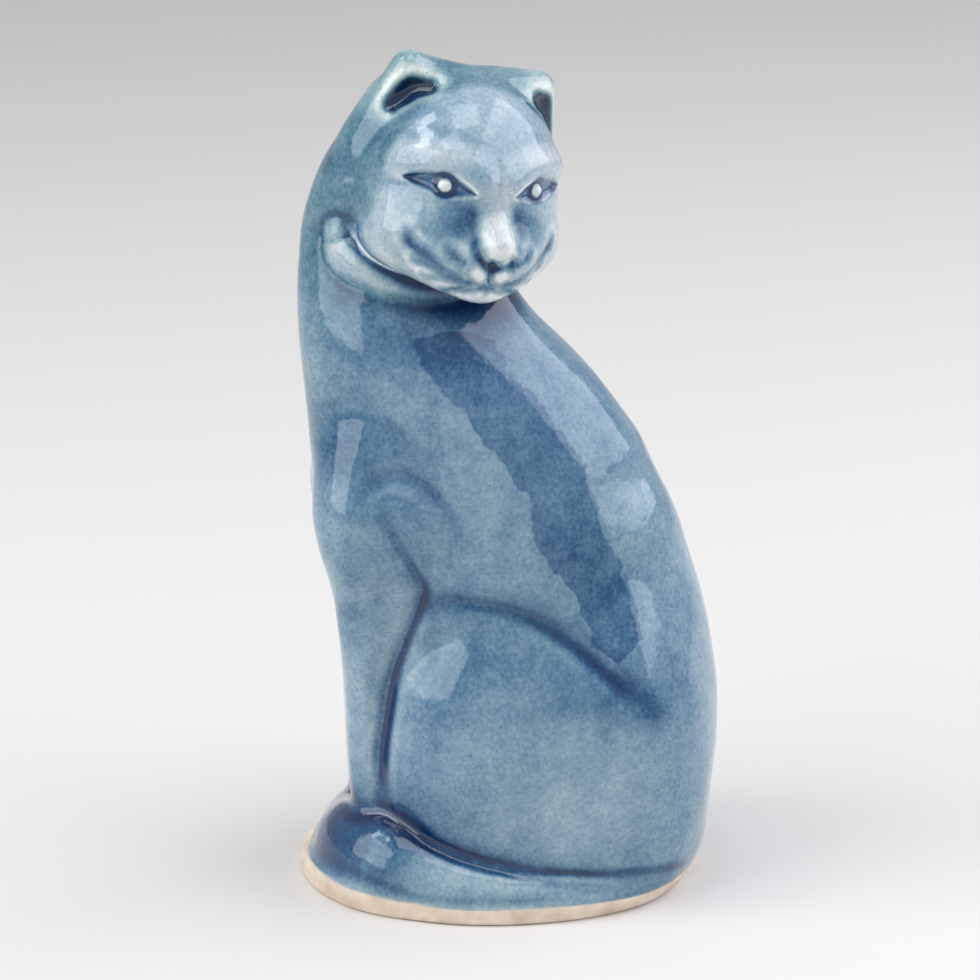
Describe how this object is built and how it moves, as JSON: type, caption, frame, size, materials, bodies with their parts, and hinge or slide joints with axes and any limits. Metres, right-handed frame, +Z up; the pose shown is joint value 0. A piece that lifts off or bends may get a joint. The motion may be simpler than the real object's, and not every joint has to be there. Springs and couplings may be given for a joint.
{
  "type": "cat figurine",
  "caption": "Upright seated ceramic cat that looks over its left shoulder, tail wrapped round its feet, glazed with a bare clay foot.",
  "frame": {"origin": "on the resting plane, under the middle of the figure's bounding box", "axes": "+Z up, the body faces -Y, the cat's left side and its face are towards +X"},
  "size_m": [0.0628, 0.0806, 0.1605],
  "materials": {
    "body_glaze": "gloss",
    "face_glaze": "gloss",
    "pooled_glaze": "gloss",
    "bare_clay": "matt"
  },
  "bodies": {
    "root": {"foot_ring": "bare_clay", "body_casting": "body_glaze", "head_casting": "face_glaze", "left_ear": "face_glaze", "right_ear": "face_glaze", "left_eye": "pooled_glaze", "right_eye": "pooled_glaze", "left_foreleg": "body_glaze", "right_foreleg": "body_glaze", "tail": "pooled_glaze"}
  },
  "joints": []
}
